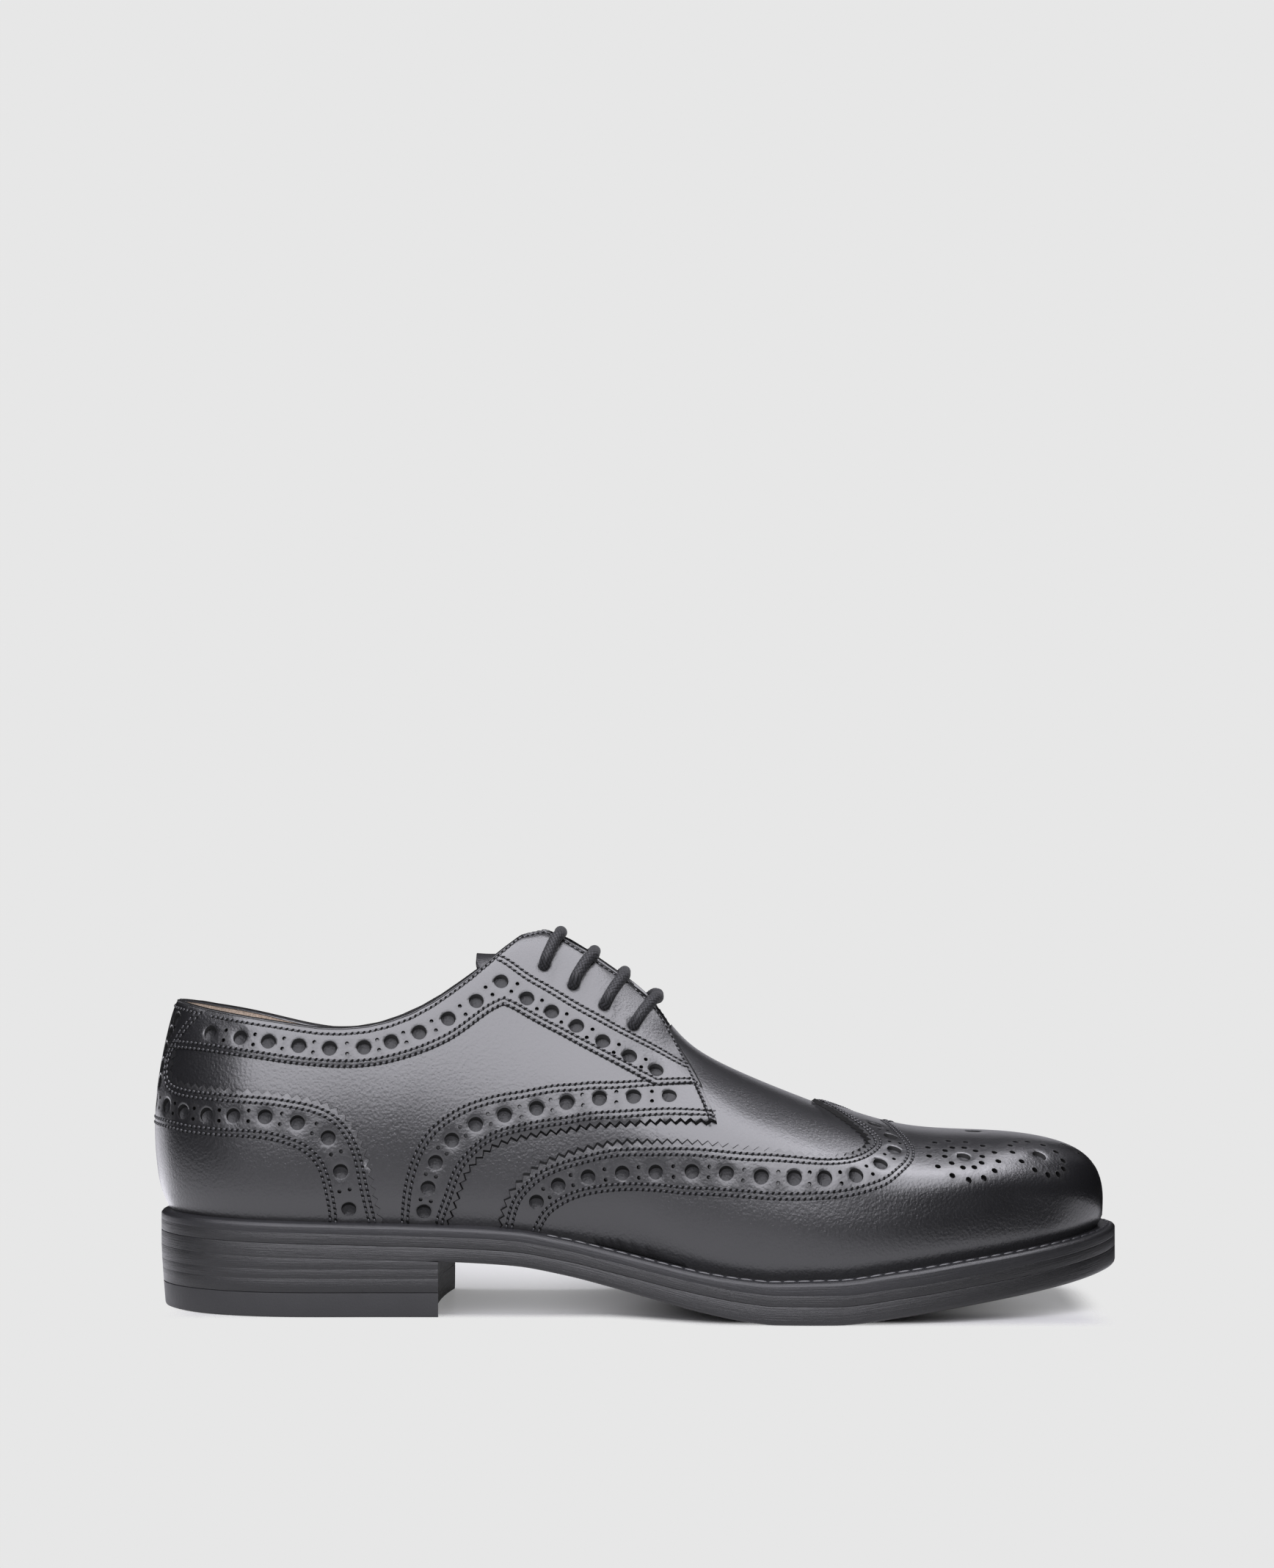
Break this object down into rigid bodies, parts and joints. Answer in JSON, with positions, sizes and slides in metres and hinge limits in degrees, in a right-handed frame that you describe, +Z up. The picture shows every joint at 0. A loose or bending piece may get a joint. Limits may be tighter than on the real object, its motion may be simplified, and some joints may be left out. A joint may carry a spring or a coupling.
{
  "type": "derby shoe",
  "caption": "Right wingtip derby shoe: hollow leather upper shaped to its last, with wing cap, quarters, counter, tongue and open lacing, on a welted leather sole with a stacked heel.",
  "frame": {"origin": "centre of the bounding box at floor level", "axes": "+X to the toe, +Y to the inner side of the foot, +Z up"},
  "size_m": [0.3031, 0.107, 0.119],
  "materials": {
    "upper_leather": "black calf, semi-gloss",
    "sole_leather": "black edge dressing, satin",
    "heel_rubber": "matt",
    "insole_leather": "natural, matt",
    "lace": "waxed round braid"
  },
  "bodies": {
    "root": {"outsole": "sole_leather", "midsole": "sole_leather", "welt": "sole_leather", "heel_stack": "sole_leather", "top_lift": "heel_rubber", "insole": "insole_leather", "upper": "upper_leather", "wing_cap": "upper_leather", "heel_counter": "upper_leather", "quarter_lateral": "upper_leather", "quarter_medial": "upper_leather", "collar_band_lateral": "upper_leather", "collar_band_medial": "upper_leather", "tongue": "upper_leather", "lace_bar_1": "lace", "lace_bar_2": "lace", "lace_bar_3": "lace", "lace_bar_4": "lace"}
  },
  "joints": []
}
